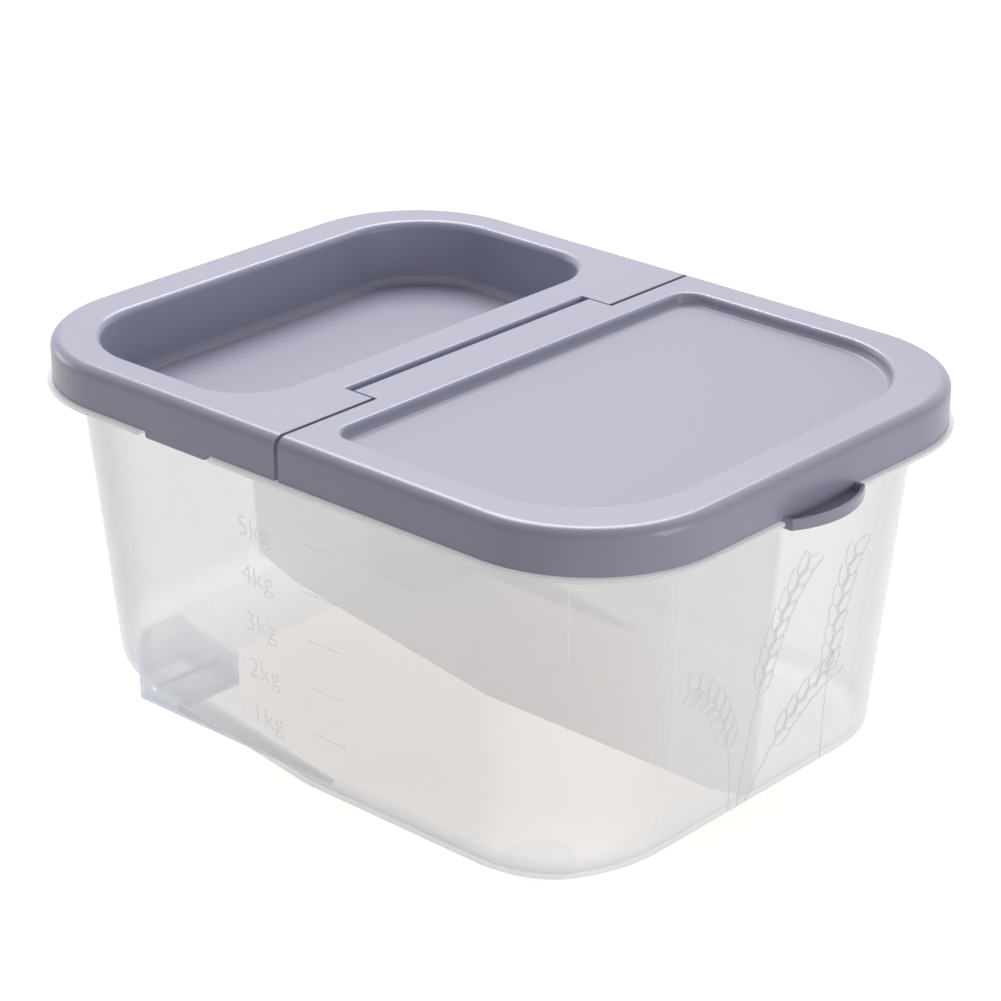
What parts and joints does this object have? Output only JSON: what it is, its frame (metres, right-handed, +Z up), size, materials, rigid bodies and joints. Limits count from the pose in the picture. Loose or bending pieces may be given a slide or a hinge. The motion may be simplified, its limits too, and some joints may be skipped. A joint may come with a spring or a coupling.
{
  "type": "rice storage box",
  "caption": "Tapered see-through grain box on small wheels, with a lift-out divider and a split lid: one part holds a tray, the other flips up on a hinge.",
  "frame": {"origin": "on the ground, under the middle of the whole box", "axes": "+X along the box towards the thumb tab of the flip lid, +Y towards the far long wall, +Z up"},
  "size_m": [0.3802, 0.281, 0.1802],
  "materials": {
    "clear_plastic": "frosted see-through polypropylene",
    "divider_plastic": "milky polypropylene",
    "lid_plastic": "fine satin texture",
    "seal_rubber": "soft silicone",
    "wheel_plastic": "satin",
    "axle_steel": "drawn wire",
    "pad_rubber": "matte"
  },
  "bodies": {
    "box": {"tub": "clear_plastic", "axle_front": "axle_steel", "axle_rear": "axle_steel", "foot_pad_front": "pad_rubber", "foot_pad_rear": "pad_rubber"},
    "lid": {"fixed_lid": "lid_plastic", "fixed_lid_seal": "seal_rubber"},
    "flap": {"flip_lid": "lid_plastic", "flip_lid_seal": "seal_rubber"},
    "partition": {"divider": "divider_plastic"},
    "front_wheel": {"wheel_front": "wheel_plastic"},
    "rear_wheel": {"wheel_rear": "wheel_plastic"}
  },
  "joints": [
    {"name": "lid_lift", "type": "slide", "parent": "box", "child": "lid", "axis": [0, 0, 1], "range_m": [0, 0.38]},
    {"name": "flip_hinge", "type": "hinge", "parent": "lid", "child": "flap", "pos_m": [-0.01448, 0, 0.1756], "axis": [0, -1, 0], "range_deg": [0, 105]},
    {"name": "divider_lift", "type": "slide", "parent": "box", "child": "partition", "axis": [0, 0, 1], "range_m": [0, 0.171]},
    {"name": "front_wheel_spin", "type": "hinge", "parent": "box", "child": "front_wheel", "pos_m": [-0.12287, -0.0855, 0.009], "axis": [0, 1, 0], "continuous": true},
    {"name": "rear_wheel_spin", "type": "hinge", "parent": "box", "child": "rear_wheel", "pos_m": [-0.12287, 0.0855, 0.009], "axis": [0, 1, 0], "continuous": true}
  ],
  "couplings": [
    {"joint": "divider_lift", "follows": "lid_lift", "ratio": 0.45}
  ]
}
